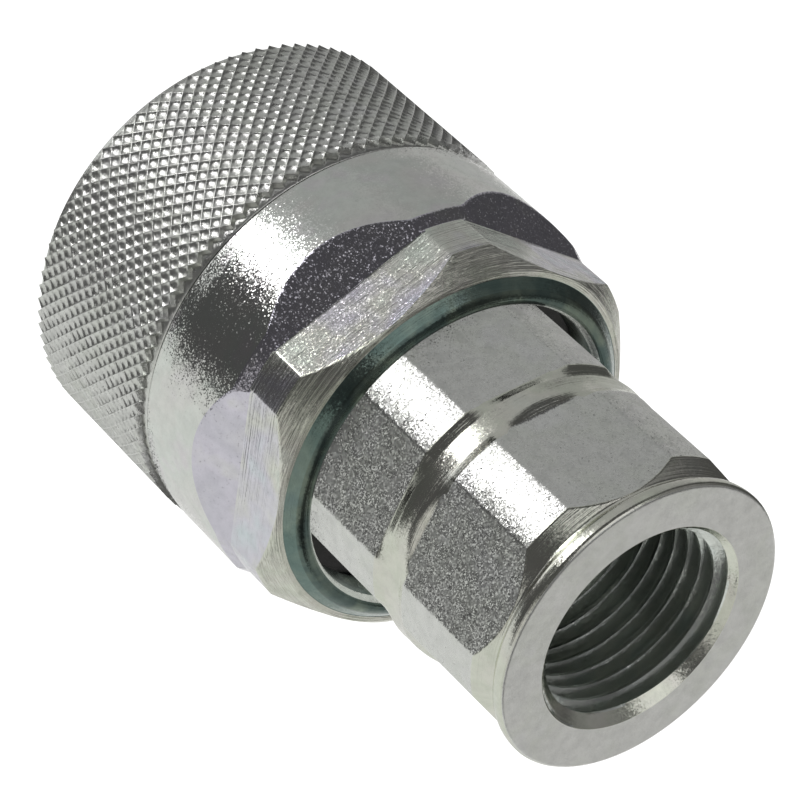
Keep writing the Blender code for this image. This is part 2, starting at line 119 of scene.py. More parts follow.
WIRE_GROOVE_TOP_Z = 29.55 * MM
NUT_THREAD_PITCH = 2.0 * MM
NUT_THREAD_MINOR_R = 17.92 * MM
NUT_THREAD_MAJOR_R = 19.0 * MM
NUT_THREAD_LOW_Z = 0.0
NUT_THREAD_HIGH_Z = 17.5 * MM

# Knurled grip
GRIP_TOP_Z = 19.3 * MM
GRIP_CREST_R = 21.58 * MM
GRIP_FLOOR_R = 20.98 * MM
GRIP_INNER_R = 20.84 * MM
GRIP_END_STEP = 0.1 * MM
KNURL_COUNT = 90
KNURL_ROWS = 23
KNURL_HALF = math.pi * GRIP_CREST_R / KNURL_COUNT
KNURL_DEPTH = 0.2 * MM
# Distance in from a ridge, and the share of the pit's depth reached there
KNURL_STEPS = [(0.03 * MM, 0.06), (0.07 * MM, 0.28), (0.16 * MM, 0.66), (0.28 * MM, 0.92), (0.38 * MM, 1.0)]

# Poppet spring
SPRING_LOW_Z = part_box("spring_seat")[1].z + 0.3 * MM
SPRING_TOP_Z = 39.9 * MM
SPRING_COIL_R = 6.6 * MM
SPRING_WIRE_R = 0.7 * MM
SPRING_TURNS = 6.5
SPRING_STEPS_PER_TURN = 48
SPRING_SIDES = 14


# ---------------------------------------------------------------- mesh helpers

def link(name, mesh, materials):
    """Link an object for the mesh and give it its materials."""
    obj = bpy.data.objects.new(name, mesh)
    bpy.context.scene.collection.objects.link(obj)
    for material in materials:
        mesh.materials.append(material)
    return obj


def finish_mesh(model, name, materials, sharp_angle=SHARP_ANGLE):
    """Turn a bmesh into a smooth-shaded object with its sharp edges marked."""
    bmesh.ops.remove_doubles(model, verts=model.verts, dist=MERGE)
    bmesh.ops.recalc_face_normals(model, faces=model.faces)
    mesh = bpy.data.meshes.new(name)
    model.to_mesh(mesh)
    model.free()
    mesh.shade_smooth()
    mesh.set_sharp_from_angle(angle=math.radians(sharp_angle))
    return link(name, mesh, materials)


def filleted(corners, steps=3):
    """Round the corners of an open outline; each corner is (radius, height, rounding, slot)."""
    points = []
    last = len(corners) - 1
    for index, (radius, height, rounding, slot) in enumerate(corners):
        here = Vector((radius, height))
        if index in (0, last):
            points.append((here, slot))
            continue
        before = Vector(corners[index - 1][:2]) - here
        after = Vector(corners[index + 1][:2]) - here
        slot_before = corners[index - 1][3]
        reach = min(rounding, 0.42 * before.length, 0.42 * after.length)
        start = here + before.normalized() * reach
        end = here + after.normalized() * reach
        points.append((start + before.normalized() * min(SUPPORT, 0.05 * before.length), slot_before))
        for step in range(steps + 1):
            share = step / steps
            curve = start.lerp(here, share).lerp(here.lerp(end, share), share)
            points.append((curve, slot if step == steps else slot_before))
        points.append((end + after.normalized() * min(SUPPORT, 0.05 * after.length), slot))
    return points


def columns_mesh(name, angles, column, materials, closed=True):
    """Skin columns of ((radius, height), slot) points that stand at the given angles."""
    model = bmesh.new()
    rows = []
    for angle in angles:
        cosine = math.cos(angle)
        sine = math.sin(angle)
        rows.append([(model.verts.new((radius * cosine, radius * sine, height)), slot)
                     for (radius, height), slot in column(angle)])
    for left, right in zip(rows, rows[1:]):
        count = len(left)
        for index in range(count if closed else count - 1):
            after = (index + 1) % count
            face = model.faces.new((left[index][0], left[after][0], right[after][0], right[index][0]))
            face.material_index = left[index][1]
    return finish_mesh(model, name, materials)


def hex_angles(turn, edge, plain_step=2.0):
    """Angles of a full turn that crowd at the edges of six flats; edge is in degrees from a flat's middle."""
    marks = [edge + offset for offset in (-0.8, -0.45, -0.15, 0.15, 0.45, 0.8)]
    plain = [plain_step * step for step in range(round(30.0 / plain_step) + 1)]
    marks += [mark for mark in plain if abs(mark - edge) > 1.1]
    sector = sorted({round(mark, 4) for mark in marks} | {round(-mark, 4) for mark in marks if mark < 30.0})
    angles = [turn + SECTOR * index + math.radians(mark) for index in range(6) for mark in sector]
    return angles + [angles[0] + math.tau]


def from_flat(angle, turn):
    """Angle from the middle of the nearest of six flats."""
    return (angle - turn + 0.5 * SECTOR) % SECTOR - 0.5 * SECTOR


def soft_min(first, second, width):
    """Smaller of two numbers, rounded off where they are within the width."""
    share = max(width - abs(first - second), 0.0) / width
    return min(first, second) - 0.25 * share * share * width


# ---------------------------------------------------------------- threads

def thread_shape(phase, flat_share=0.16):
    """0 on the crest and 1 in the root of a thread, for a phase of 0 to 1."""
    distance = abs(phase % 1.0 - 0.5) * 2.0
    slope = (distance - flat_share) / (1.0 - 2.0 * flat_share)
    slope = min(max(slope, 0.0), 1.0)
    smooth = slope * slope * (3.0 - 2.0 * slope)
    return 1.0 - (0.6 * slope + 0.4 * smooth)


def thread_levels(angle, low, high, pitch, minor_r, major_r, points_per_turn=12):
    """(radius, height) points up a right-handed internal thread at one angle; they follow the helix."""
    turns = math.ceil((high - low) / pitch) + 2
    levels = []
    for index in range(turns * points_per_turn + 1):
        share = index / points_per_turn
        height = low + pitch * (share - 1.0 + angle / math.tau)
        fade = min(max((height - low) / (1.5 * pitch), 0.0), 1.0)
        radius = minor_r + (major_r - minor_r) * thread_shape(share) * fade
        levels.append((radius, min(max(height, low), high)))
    return levels


# ---------------------------------------------------------------- port adaptor

LAND, TURNED, FACE, THREAD, HIDDEN = range(5)


def adaptor_outside(angle):
    """Corners of the port adaptor's outside at one angle, from the port face down."""
    top = PORT_FACE_Z
    land_r = soft_min(BODY_FLAT / math.cos(from_flat(angle, 0.0)), BODY_R, CORNER_BLEND)
    cone_z = top - NECK_DEPTH - (land_r - BODY_FLAT) * NECK_CONE_RATE
    on_corner = land_r > GROOVE_R
    land_2_low = top - (LAND_2_LOW_DEPTH if on_corner else FLAT_2_LOW_DEPTH)
    land_1_top = top - (LAND_1_TOP_DEPTH if on_corner else FLAT_1_TOP_DEPTH)
    run_out = GROOVE_RUN_OUT_RATE * max(GROOVE_R - land_r, 0.0)
    groove_top = min(top - GROOVE_TOP_DEPTH, land_2_low - run_out - 0.05 * MM)
    groove_low = max(top - GROOVE_LOW_DEPTH, land_1_top + run_out + 0.05 * MM)
    return [
        (12.5 * MM, top, 0.0, FACE),
        (14.66 * MM, top, 0.14 * MM, TURNED),
        (PORT_LIP_R, top - 0.3 * MM, 0.2 * MM, TURNED),
        (PORT_LIP_R, top - 0.85 * MM, 0.3 * MM, TURNED),
        (14.8 * MM, top - 1.4 * MM, 0.25 * MM, TURNED),
        (14.3 * MM, top - 1.78 * MM, 0.3 * MM, TURNED),
        (14.24 * MM, top - NECK_DEPTH, 0.12 * MM, TURNED),
        (land_r, cone_z, 0.12 * MM, LAND),
        (land_r, 0.5 * (cone_z + land_2_low), 0.0, LAND),
        (land_r, land_2_low, 0.14 * MM, TURNED),
        (GROOVE_R, groove_top, 0.4 * MM, TURNED),
        (GROOVE_R - 0.06 * MM, 0.5 * (groove_top + groove_low), 0.3 * MM, TURNED),
        (GROOVE_R + 0.02 * MM, groove_low, 0.12 * MM, TURNED),
        (land_r, land_1_top, 0.14 * MM, LAND),
        (land_r, 0.5 * (land_1_top + ADAPTOR_LOW_Z), 0.0, LAND),
        (land_r, ADAPTOR_LOW_Z + 0.1 * MM, 0.1 * MM, LAND),
        (land_r - 0.3 * MM, ADAPTOR_LOW_Z, 0.0, HIDDEN),
    ]


def adaptor_column(angle):
    """Outline of the port adaptor at one angle, down its outside and up its bore."""
    points = filleted(adaptor_outside(angle))
    inner = [
        (SPIGOT_BORE_R, ADAPTOR_LOW_Z),
        (SPIGOT_BORE_R, SPIGOT_BORE_TOP_Z),
        (FLOW_BORE_R, SPIGOT_BORE_TOP_Z),
        (FLOW_BORE_R, FLOW_BORE_TOP_Z),
    ]
    points += [(Vector(corner), HIDDEN) for corner in inner]
    mouth_rate = (PORT_MOUTH_R - PORT_MINOR_R) / PORT_MOUTH_DEPTH
    for radius, height in thread_levels(angle, PORT_THREAD_LOW_Z, PORT_FACE_Z, PORT_PITCH,
                                        PORT_MINOR_R, PORT_MAJOR_R):
        cone_r = PORT_MOUTH_R - (PORT_FACE_Z - height) * mouth_rate
        points.append((Vector((max(radius, cone_r), height)), TURNED if cone_r > radius else THREAD))
    points.append((Vector((PORT_MOUTH_R + SUPPORT, PORT_FACE_Z)), FACE))
    return points


def port_adaptor(looks):
    """Female port with two hexagon lands, a turned groove, a neck and a rounded lip."""
    edge = math.degrees(math.acos(BODY_FLAT / BODY_R))
    materials = [looks[name] for name in ("land", "turned", "face", "thread", "hidden")]
    piece = columns_mesh("adaptor_shell", hex_angles(0.0, edge), adaptor_column, materials)
    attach(piece, "coupler_body")
    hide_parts("port_adaptor")


# ---------------------------------------------------------------- coupling nut

COLLAR, HEX, CHAMFER, BORE, NUT_THREAD, RIM, SLOPE, LIP_WALL, LIP_SIDE = range(9)


def run_out_height(radius, spread):
    """Height at which the run-out below a flat reaches a radius."""
    return NUT_FLAT_LOW_Z - (radius / spread - NUT_FLAT) / RUN_OUT_SLOPE


def run_out_points(spread, on_corner):
    """Three points that lead from a flat's run-out to the collar at one angle."""
    corner_z = STEP_TOP_Z if on_corner else run_out_height(NUT_CORNER_R, spread)
    edge_z = run_out_height(NUT_R, spread)
    step_rate = (NUT_R - NUT_CORNER_R) / (STEP_TOP_Z - STEP_LOW_Z)
    rate = RUN_OUT_SLOPE * spread
    if corner_z >= STEP_TOP_Z:
        return [(NUT_CORNER_R, corner_z), (NUT_CORNER_R, STEP_TOP_Z), (NUT_R, STEP_LOW_Z)]
    if edge_z <= STEP_LOW_Z:
        start_z = min(edge_z + NUT_EDGE, NUT_FLAT_LOW_Z - 0.02 * MM)
        start_r = NUT_R - (start_z - edge_z) * rate
        end_z = edge_z - NUT_EDGE
        return [(start_r, start_z), (0.5 * (start_r + NUT_R), 0.5 * (start_z + end_z)), (NUT_R, end_z)]
    drop = NUT_FLAT * spread + NUT_FLAT_LOW_Z * rate - NUT_CORNER_R - STEP_TOP_Z * step_rate
    cross_z = drop / (rate - step_rate)
    cross = (NUT_CORNER_R + (STEP_TOP_Z - cross_z) * step_rate, cross_z)
    return [cross, cross, (NUT_R, STEP_LOW_Z)]


def nut_outside(angle):
    """Corners of the nut's outside at one angle, from its rear shoulder to its front face."""
    spread = 1.0 / math.cos(from_flat(angle, NUT_HEX_TURN))
    flat_r = soft_min(NUT_FLAT * spread, NUT_CORNER_R, CORNER_BLEND)
    chamfer_z = NUT_SHOULDER_Z - (flat_r - NUT_CHAMFER_R)
    on_corner = flat_r > NUT_CORNER_R - 0.02 * MM
    flat_end = STEP_TOP_Z + 0.05 * MM if on_corner else NUT_FLAT_LOW_Z
    first, second, third = run_out_points(spread, on_corner)
    return [
        (NUT_LIP_FOOT_R + 0.05 * MM, NUT_SHOULDER_Z, 0.0, CHAMFER),
        (NUT_CHAMFER_R, NUT_SHOULDER_Z, 0.1 * MM, CHAMFER),
        (flat_r, chamfer_z, 0.16 * MM, HEX),
        (flat_r, 0.5 * (chamfer_z + NUT_FLAT_LOW_Z), 0.0, HEX),
        (flat_r, flat_end, 0.12 * MM, SLOPE),
        (*first, 0.14 * MM, SLOPE),
        (*second, 0.06 * MM, SLOPE),
        (*third, 0.14 * MM, COLLAR),
        (NUT_R, NUT_SPLIT_Z, 0.0, COLLAR),
        (NUT_R, 22.25 * MM, 0.3 * MM, COLLAR),
        (21.2 * MM, 20.15 * MM, 0.08 * MM, COLLAR),
        (20.95 * MM, 19.9 * MM, 0.08 * MM, COLLAR),
        (NUT_BASE_R, 19.7 * MM, 0.0, COLLAR),
        (NUT_BASE_R, 1.1 * MM, 0.1 * MM, COLLAR),
        (20.45 * MM, 0.0, 0.12 * MM, COLLAR),
        (20.0 * MM, 0.0, 0.0, COLLAR),
        (NUT_MOUTH_R, 0.0, 0.0, NUT_THREAD),
    ]


def nut_inside():
    """Corners of the nut's inside, from the end of its thread to its rear lip."""
    return [
        (NUT_RELIEF_R, 18.0 * MM, 0.1 * MM, BORE),
        (NUT_RELIEF_R, 20.5 * MM, 0.3 * MM, BORE),
        (NUT_BORE_R, 22.3 * MM, 0.3 * MM, BORE),
        (NUT_BORE_R, WIRE_GROOVE_LOW_Z, 0.05 * MM, BORE),
        (WIRE_GROOVE_R, WIRE_GROOVE_LOW_Z, 0.1 * MM, BORE),
        (WIRE_GROOVE_R, WIRE_GROOVE_TOP_Z, 0.1 * MM, BORE),
        (NUT_BORE_R, WIRE_GROOVE_TOP_Z, 0.05 * MM, BORE),
        (NUT_BORE_R, NUT_REAR_BORE_Z, 0.0, BORE),
        (15.7 * MM, NUT_LIP_Z - 4.0 * MM, 0.3 * MM, BORE),
        (15.75 * MM, NUT_LIP_Z - 1.3 * MM, 0.4 * MM, LIP_WALL),
        (15.95 * MM, NUT_LIP_Z - 0.45 * MM, 0.3 * MM, RIM),
        (16.5 * MM, NUT_LIP_Z, 0.35 * MM, RIM),
        (17.3 * MM, NUT_LIP_Z - 0.25 * MM, 0.4 * MM, LIP_SIDE),
        (NUT_LIP_FOOT_R, NUT_SHOULDER_Z - 0.02 * MM, 0.15 * MM, LIP_SIDE),
    ]


def nut_column(angle):
    """Outline of the nut without its knurl at one angle, down its outside and up its inside."""
    points = filleted(nut_outside(angle))
    for radius, height in thread_levels(angle, NUT_THREAD_LOW_Z, NUT_THREAD_HIGH_Z, NUT_THREAD_PITCH,
                                        NUT_THREAD_MINOR_R, NUT_THREAD_MAJOR_R):
        points.append((Vector((max(radius, NUT_MOUTH_R - height), height)), NUT_THREAD))
    return points + filleted(nut_inside())


def height_index(points, height):
    """Place in an outline of its first point at a height."""
    return next(index for index, (point, slot) in enumerate(points) if abs(point[1] - height) < MERGE)


def nut_shells(looks):
    """Hexagon with its rear lip, and the collar, bore and coupling thread in front of it."""
    edge = math.degrees(math.acos(NUT_FLAT / NUT_CORNER_R))
    angles = hex_angles(NUT_HEX_TURN, edge, 1.5)
    sample = nut_column(angles[0])
    collar = height_index(sample, NUT_SPLIT_Z)
    bore = collar + height_index(sample[collar:], NUT_REAR_BORE_Z)
    names = ("collar", "hex", "chamfer", "bore", "nut_thread", "rim", "slope", "lip_wall", "lip_side")
    materials = [looks[name] for name in names]
    halves = {
        "nut_rear_shell": lambda angle: nut_column(angle)[bore:] + nut_column(angle)[:collar + 1],
        "nut_front_shell": lambda angle: nut_column(angle)[collar:bore + 1],
    }
    for name, column in halves.items():
        piece = columns_mesh(name, angles, column, materials, closed=False)
        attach(piece, "nut")
        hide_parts("coupling_nut")
        # Keeps the dark gap out of the body's polished lands
        piece.visible_glossy = name != "nut_rear_shell"


def on_cylinder(along, height, radius):
    """Point at a length along the grip's crest circle, on a cylinder of the radius."""
    angle = along / GRIP_CREST_R
    return (radius * math.cos(angle), radius * math.sin(angle), height)


def knurl_cell(model, along, height, depth, corners):
    """One shallow pit between four ridges; corners are its four crossing points."""
    directions = [(1.0, 0.0), (0.0, 1.0), (-1.0, 0.0), (0.0, -1.0)]
    loop = corners
    for inset, fall in KNURL_STEPS:
        reach = KNURL_HALF - inset * math.sqrt(2.0)
        following = [model.verts.new(on_cylinder(along + reach * across, height + reach * up,
                                                 GRIP_CREST_R - fall * depth))
                     for across, up in directions]
        for index in range(4):
            after = (index + 1) % 4
            model.faces.new((loop[index], loop[after], following[after], following[index]))
        loop = following
    model.faces.new(loop)


def join_rings(model, first, second):
    """Faces between two closed rings of vertices."""
    for index in range(len(first)):
        after = (index + 1) % len(first)
        model.faces.new((first[index], first[after], second[after], second[index]))


def grip_end(model, rim, edge_z, outward):
    """Close one end of the grip from its toothed rim down to the inner wall, and give back the last ring."""
    step = outward * GRIP_END_STEP
    rings = [rim]
    for radius, heights in ((GRIP_FLOOR_R, [vert.co.z + step for vert in rim]),
                            (GRIP_FLOOR_R - 0.02 * MM, [edge_z] * len(rim)),
                            (GRIP_INNER_R, [edge_z + step] * len(rim))):
        rings.append([model.verts.new(on_cylinder(column * KNURL_HALF, height, radius))
                      for column, height in enumerate(heights)])
        join_rings(model, *rings[-2:])
    return rings[-1]


def knurled_grip(looks):
    """Ring of diamond knurling: crossing ridges round shallow pits, with toothed ends."""
    rng = random.Random(7)
    model = bmesh.new()
    low = GRIP_TOP_Z - KNURL_HALF * (KNURL_ROWS + 1)
    crossings = {}

    def crossing(column, row):
        """Vertex where two ridges cross; column and row count half periods."""
        key = (column % (2 * KNURL_COUNT), row)
        if key not in crossings:
            place = on_cylinder(key[0] * KNURL_HALF, low + row * KNURL_HALF, GRIP_CREST_R)
            crossings[key] = model.verts.new(place)
        return crossings[key]

    for row in range(1, KNURL_ROWS + 1):
        for column in range(row % 2, 2 * KNURL_COUNT + row % 2, 2):
            corners = [crossing(column + 1, row), crossing(column, row + 1),
                       crossing(column - 1, row), crossing(column, row - 1)]
            depth = KNURL_DEPTH * rng.uniform(0.9, 1.1)
            knurl_cell(model, column * KNURL_HALF, low + row * KNURL_HALF, depth, corners)
    ends = []
    for row, outward in ((KNURL_ROWS + 1, 1), (0, -1)):
        inner_row = row - outward
        rim = [crossing(column, row if (column + inner_row) % 2 == 0 else inner_row)
               for column in range(2 * KNURL_COUNT)]
        ends.append(grip_end(model, rim, low + row * KNURL_HALF + outward * 0.3 * MM, outward))
    join_rings(model, *ends)
    piece = finish_mesh(model, "knurled_grip", [looks["knurl"]], 55.0)
    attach(piece, "nut")
    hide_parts("coupling_nut")


# ---------------------------------------------------------------- poppet spring

def poppet_coil(looks):
    """Compression spring whose top end sits under the guide."""
    model = bmesh.new()
    count = int(SPRING_TURNS * SPRING_STEPS_PER_TURN)
    span = SPRING_TOP_Z - SPRING_LOW_Z - 2.0 * SPRING_WIRE_R
    rings = []
    for index in range(count + 1):
        share = index / count
        angle = math.tau * SPRING_TURNS * share
        # The turns lie a little closer together at both ends
        rise = share - 0.5 / SPRING_TURNS * math.sin(math.tau * share) / math.tau
        radial = Vector((math.cos(angle), math.sin(angle), 0.0))
        centre = SPRING_COIL_R * radial + (SPRING_LOW_Z + SPRING_WIRE_R + span * rise) * UP
        rings.append([])
        for side in range(SPRING_SIDES):
            turn = math.tau * side / SPRING_SIDES
            outward = math.cos(turn) * radial + math.sin(turn) * UP
            rings[-1].append(model.verts.new(centre + SPRING_WIRE_R * outward))
    for first, second in zip(rings, rings[1:]):
        join_rings(model, first, second)
    model.faces.new(rings[0])
    model.faces.new(rings[-1])
    piece = finish_mesh(model, "spring_coil", [looks["spring"]])
    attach(piece, "coupler_body")
    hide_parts("poppet_spring")
    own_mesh(piece)


# ---------------------------------------------------------------- materials

class Nodes:
    """Short way to write the node tree of a material or a world."""

    def __init__(self, owner):
        owner.use_nodes = True
        self.owner = owner
        self.tree = owner.node_tree

    def fill(self, node, key, value):
        """Connect an input to a socket, or set its constant value."""
        if isinstance(value, bpy.types.NodeSocket):
            self.tree.links.new(value, node.inputs[key])
        else:
            node.inputs[key].default_value = value

    def feed(self, node_name, inputs):
        """Connect or fill inputs of a node that the tree starts with."""
        for key, value in inputs.items():
            self.fill(self.tree.nodes[node_name], key, value)

    def add(self, kind, inputs=None, **settings):
        """Add a node, set its properties and connect or fill its inputs."""
        node = self.tree.nodes.new(kind)
        for key, value in settings.items():
            setattr(node, key, value)
        for key, value in (inputs or {}).items():
            self.fill(node, key, value)
        return node

    def math(self, operation, *operands):
        """Output of a Math node."""
        return self.add("ShaderNodeMath", dict(enumerate(operands)), operation=operation).outputs[0]

    def vector(self, operation, *operands):
        """Output of a Vector Math node."""
        node = self.add("ShaderNodeVectorMath", dict(enumerate(operands)), operation=operation)
        return node.outputs["Vector"]

    def scaled(self, vector, factor):
        """Vector or colour times a factor."""
        node = self.add("ShaderNodeVectorMath", {0: vector, "Scale": factor}, operation="SCALE")
        return node.outputs["Vector"]

    def place(self):
        """Coordinates on the object, in metres."""
        return self.add("ShaderNodeTexCoord").outputs["Object"]

    def split(self, vector):
        """X, Y and Z of a vector."""
        return self.add("ShaderNodeSeparateXYZ", {"Vector": vector}).outputs

    def noise(self, vector, scale, detail, roughness):
        """Value of a noise texture."""
        inputs = {"Vector": vector, "Scale": scale, "Detail": detail, "Roughness": roughness}
        return self.add("ShaderNodeTexNoise", inputs).outputs["Fac"]

    def remap(self, value, source, target, **settings):
        """Value carried from a source range to a target range."""
        inputs = {"Value": value, "From Min": source[0], "From Max": source[1],
                  "To Min": target[0], "To Max": target[1]}
        return self.add("ShaderNodeMapRange", inputs, **settings).outputs["Result"]

    def ramp(self, factor, stops):
        """Colour ramp over (position, colour) stops."""
        node = self.add("ShaderNodeValToRGB", {"Fac": factor})
        ramp = node.color_ramp
        while len(ramp.elements) < len(stops):
            ramp.elements.new(0.5)
        for element, (position, colour) in zip(ramp.elements, stops):
            element.position = position
            element.color = (*colour, 1.0)
        return node.outputs["Color"]

    def mix(self, factor, first, second):
        """Mixed colour."""
        node = self.add("ShaderNodeMix", {"Factor": factor, "A": first, "B": second}, data_type="RGBA")
        return node.outputs["Result"]

    def bump(self, height, distance, normal=None):
        """Normal bumped by a height, of the given depth in metres."""
        inputs = {"Height": height, "Distance": distance, "Strength": 1.0}
        if normal is not None:
            inputs["Normal"] = normal
        return self.add("ShaderNodeBump", inputs).outputs["Normal"]


SHADER = "Principled BSDF"
TINT_STOPS = (0.32, 0.44, 0.56, 0.68)
GRAIN_SCALE = 9000.0
# Tilt of the normal in every crystal grain, and the extra tilt that only a few grains reach
STEADY_TILT = 0.035
RARE_TILT = 0.16
ROUGHNESS_SPREAD = 0.05
# How fast the machining marks vary along their own direction, per metre
MARK_DRIFT = 60.0
# The coordinate across the marks is the radius plus this share of the height
MARK_LEAN = -0.83
# Where the stains start and end their effect on the colour, and the colour's factor at both
STAIN_EDGES = (0.35, 0.7)
STAIN_DULLING = (1.0, 0.9)
# Factor of the colour below and above the given height; the near-black above it is painted shade on parts
# deep in the gap
PAINTED_SHADE_FACTORS = (1.0, 0.05)
# Change of roughness either side of the mean in a plain material
CLOUD_SPREAD = 0.08

# Four colours of each finish or painted shade, between which its tint drifts
NEUTRAL = ((0.80, 0.80, 0.78), (0.82, 0.82, 0.80), (0.80, 0.81, 0.77), (0.83, 0.83, 0.82))
OLIVE = ((0.80, 0.80, 0.72), (0.78, 0.80, 0.70), (0.82, 0.81, 0.74), (0.78, 0.79, 0.73))
RAINBOW = ((0.80, 0.86, 0.78), (0.82, 0.82, 0.76), (0.80, 0.78, 0.86), (0.74, 0.83, 0.86))
PEARL = ((0.82, 0.80, 0.80), (0.82, 0.82, 0.79), (0.80, 0.83, 0.79), (0.83, 0.80, 0.82))
# Nearly black zinc: painted shade and painted dark reflection on the insides, the nut's bore and the rear
# lip's top, which are plated like the rest
PAINTED_SHADE_DARK = ((0.16, 0.21, 0.19), (0.10, 0.14, 0.13), (0.22, 0.27, 0.22), (0.12, 0.17, 0.16))
VIOLET = ((0.74, 0.72, 0.78), (0.70, 0.68, 0.76), (0.76, 0.73, 0.82), (0.78, 0.77, 0.78))
PALE_GREEN = ((0.86, 0.90, 0.86), (0.84, 0.88, 0.84), (0.88, 0.91, 0.86), (0.82, 0.88, 0.85))
# Dark green: the plating's green tint, darkened as painted shade and painted dark reflection on the lip's
# side
GREEN_WITH_PAINTED_SHADE = ((0.20, 0.28, 0.25), (0.16, 0.23, 0.21), (0.24, 0.31, 0.27), (0.19, 0.26, 0.25))

# Two colours of each plain material
WIRE = ((0.42, 0.43, 0.45), (0.5, 0.5, 0.5))
NITRILE = ((0.012, 0.012, 0.013), (0.03, 0.03, 0.03))
PTFE = ((0.80, 0.79, 0.75), (0.88, 0.87, 0.84))
BRONZE = ((0.50, 0.33, 0.17), (0.58, 0.40, 0.22))


def turning_place(nodes, place, along, flat):
    """Coordinates that run fast across the machining marks and slowly along them."""
    x, y, z = nodes.split(place)
    across = nodes.math("MULTIPLY", z, MARK_LEAN * along)
    if not flat:
        squares = nodes.math("ADD", nodes.math("MULTIPLY", x, x), nodes.math("MULTIPLY", y, y))
        across = nodes.math("MULTIPLY_ADD", nodes.math("SQRT", squares), along, across)
    joined = nodes.add("ShaderNodeCombineXYZ", {"X": nodes.math("MULTIPLY", x, MARK_DRIFT),
                                                "Y": nodes.math("MULTIPLY", y, MARK_DRIFT), "Z": across})
    return joined.outputs["Vector"]


def sparkle(nodes, place, normal, grain):
    """Tilt the normal a little in every crystal grain, and a lot in a few of them."""
    cells = nodes.add("ShaderNodeTexVoronoi", {"Vector": place, "Scale": GRAIN_SCALE}).outputs["Color"]
    signed = nodes.vector("MULTIPLY_ADD", cells, (2.0, 2.0, 2.0), (-1.0, -1.0, -1.0))
    cubed = nodes.vector("MULTIPLY", nodes.vector("MULTIPLY", signed, signed), signed)
    rare = nodes.vector("MULTIPLY", cubed, (RARE_TILT * grain,) * 3)
    tilt = nodes.vector("MULTIPLY_ADD", signed, (STEADY_TILT * grain,) * 3, rare)
    return nodes.vector("NORMALIZE", nodes.vector("ADD", normal, tilt))


def plating_colour(nodes, place, colours, stain, tint_scale, painted_shade_above):
    """Drifting tint, a little duller in the stains, and nearly black above a height if one is given, as
    painted shade.
    """
    tint = nodes.noise(place, tint_scale, 3.0, 0.55)
    colour = nodes.ramp(tint, list(zip(TINT_STOPS, colours)))
    shade = nodes.scaled(colour, nodes.remap(stain, STAIN_EDGES, STAIN_DULLING))
    if painted_shade_above is None:
        return shade
    height = nodes.split(place)["Z"]
    return nodes.scaled(shade, nodes.remap(height, (painted_shade_above - MM, painted_shade_above + MM), PAINTED_SHADE_FACTORS))


def plating_normal(nodes, place, grain, mark_depth, marks, flat):
    """Fine unevenness, machining marks and sparkling grain, one on top of the other."""
    normal = nodes.bump(nodes.noise(place, 2600.0, 3.0, 0.6), 6.0 * MICRON)
    if mark_depth:
        lines = nodes.noise(turning_place(nodes, place, marks, flat), 1.0, 3.0, 0.65)
        normal = nodes.bump(lines, mark_depth * MICRON, normal)
    return sparkle(nodes, place, normal, grain)


def zinc(name, colours, roughness, grain, mark_depth=0.0, marks=9000.0, anisotropy=0.0, flat=False,
         tint_scale=160.0, painted_shade_above=None):
    """Zinc-plated steel; mark_depth is in microns, and more marks lie closer together."""
    nodes = Nodes(bpy.data.materials.new(name))
    place = nodes.place()
    stain = nodes.noise(place, 900.0, 4.0, 0.6)
    rough_range = (roughness - ROUGHNESS_SPREAD, roughness + ROUGHNESS_SPREAD)
    nodes.feed(SHADER, {
        "Base Color": plating_colour(nodes, place, colours, stain, tint_scale, painted_shade_above),
        "Roughness": nodes.remap(stain, (0.3, 0.7), rough_range),
        "Metallic": 1.0,
        "Normal": plating_normal(nodes, place, grain, mark_depth, marks, flat),
    })
    if anisotropy:
        tangent = nodes.add("ShaderNodeTangent", direction_type="RADIAL", axis="Z").outputs["Tangent"]
        nodes.feed(SHADER, {"Anisotropic": anisotropy, "Tangent": tangent})
    return nodes.owner


def simple(name, colours, roughness, metallic, scale, depth, grain_scale):
    """Plain material with a grain: spring wire, rubber, PTFE or bronze; depth is in microns."""
    nodes = Nodes(bpy.data.materials.new(name))
    place = nodes.place()
    cloud = nodes.noise(place, scale, 3.0, 0.6)
    grain = nodes.noise(place, grain_scale, 2.0, 0.5)
    nodes.feed(SHADER, {
        "Base Color": nodes.mix(cloud, (*colours[0], 1.0), (*colours[1], 1.0)),
        "Roughness": nodes.remap(cloud, (0.0, 1.0), (roughness - CLOUD_SPREAD, roughness + CLOUD_SPREAD)),
        "Metallic": metallic,
        "Normal": nodes.bump(grain, depth * MICRON),
    })
    return nodes.owner


